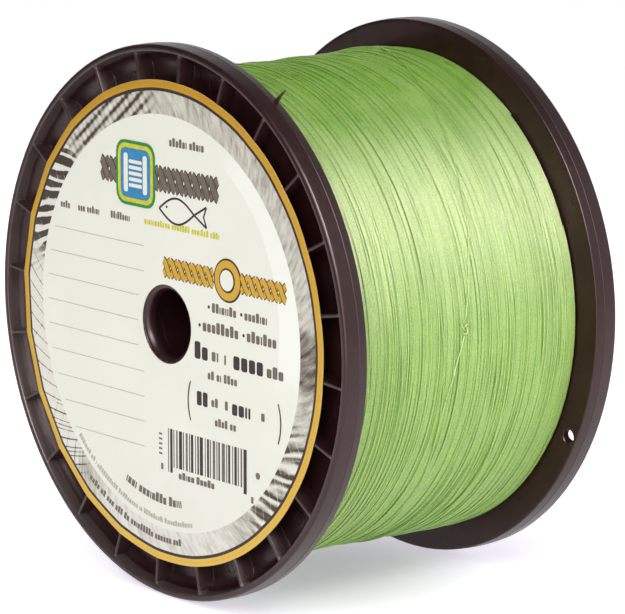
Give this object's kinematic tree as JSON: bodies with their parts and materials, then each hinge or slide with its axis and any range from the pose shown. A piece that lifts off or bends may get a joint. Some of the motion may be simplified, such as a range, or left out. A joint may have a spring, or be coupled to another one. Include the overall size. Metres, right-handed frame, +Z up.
{
  "type": "fishing line spool",
  "caption": "Bulk spool of braided fishing line: two ribbed moulded flanges on a drum with a central arbor bore, a round printed label and the wound line.",
  "frame": {"origin": "on the spool's axis, midway between the two flanges' outer faces", "axes": "+Y along the axis from the labelled flange to the rear flange, +Z up as the spool stands on its rims, +X right when looking at the label"},
  "size_m": [0.14, 0.088, 0.14],
  "materials": {
    "moulded_plastic": "satin moulded, brownish black",
    "printed_label": "coated printed paper, cream with a gold border",
    "starter_tape": "matt masking tape",
    "braided_line": "fine tight braid with a satin sheen, lime green"
  },
  "bodies": {
    "root": {"front_flange": "moulded_plastic", "rear_flange": "moulded_plastic", "drum": "moulded_plastic", "arbor_tube": "moulded_plastic", "front_label": "printed_label", "start_tape": "starter_tape", "line_winding": "braided_line", "line_last_turn": "braided_line", "line_knot": "braided_line", "line_tag_end": "braided_line"}
  },
  "joints": []
}
